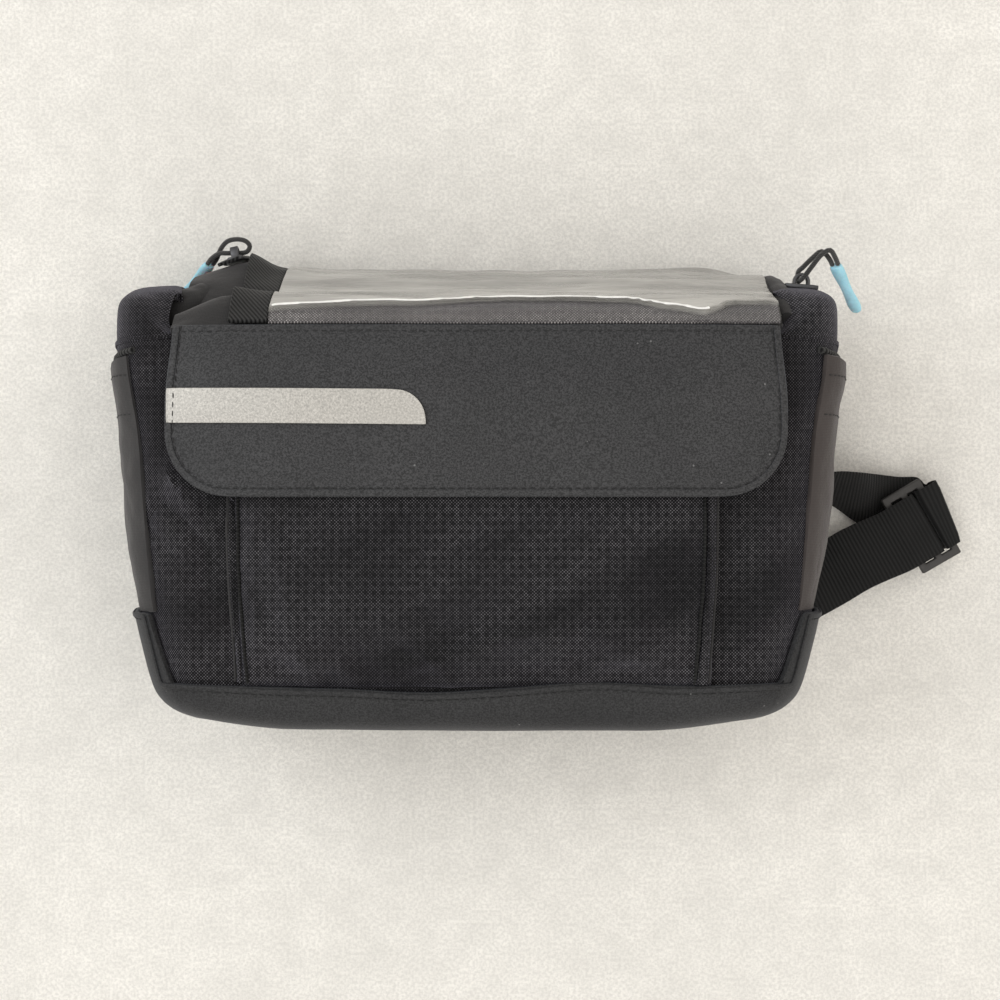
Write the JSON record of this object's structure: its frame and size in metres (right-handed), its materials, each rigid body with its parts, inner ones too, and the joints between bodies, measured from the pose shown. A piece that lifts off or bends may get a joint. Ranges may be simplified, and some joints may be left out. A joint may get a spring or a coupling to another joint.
{
  "type": "bike handlebar bag",
  "caption": "Padded handlebar bag lying on its back, with a rounded flap, map window lid, front and side pockets, cord pulls and a webbing strap.",
  "frame": {"origin": "middle of the flat back panel, on its outer face", "axes": "+X to the right of the bag's front, +Y from its base to its lid, +Z out of its front; the bag lies on its back panel"},
  "size_m": [0.3183, 0.1759, 0.1034],
  "materials": {
    "woven_fabric": "matte woven twill",
    "rubberised_fabric": "matte coated",
    "smooth_fabric": "fine plain weave",
    "black_webbing": "ribbed",
    "clear_film": "clear, glossy",
    "slider_metal": "dark satin",
    "black_cord": "braided",
    "light_blue_grip": "moulded satin",
    "black_plastic": "moulded satin",
    "reflective_silver": "reflective, fine speckle"
  },
  "bodies": {
    "root": {"body_shell": "woven_fabric", "base_tray": "rubberised_fabric", "back_panel": "woven_fabric", "side_pocket_left": "smooth_fabric", "side_pocket_right": "smooth_fabric", "pocket_binding_left": "black_webbing", "pocket_binding_right": "black_webbing", "front_pocket": "woven_fabric", "front_flap": "rubberised_fabric", "reflective_stripe": "reflective_silver", "lid": "smooth_fabric", "window_backing": "woven_fabric", "map_window": "clear_film", "window_tape_left": "black_webbing", "window_tape_right": "black_webbing", "zip_tape": "black_webbing", "zip_tape_end": "black_webbing", "zip_slider_left": "slider_metal", "zip_slider_right": "slider_metal", "pull_cord_left": "black_cord", "pull_cord_right": "black_cord", "pull_grip_left": "light_blue_grip", "pull_grip_right": "light_blue_grip", "strap_fixed": "black_webbing", "strap_adjust": "black_webbing", "strap_glide": "black_plastic"}
  },
  "joints": []
}
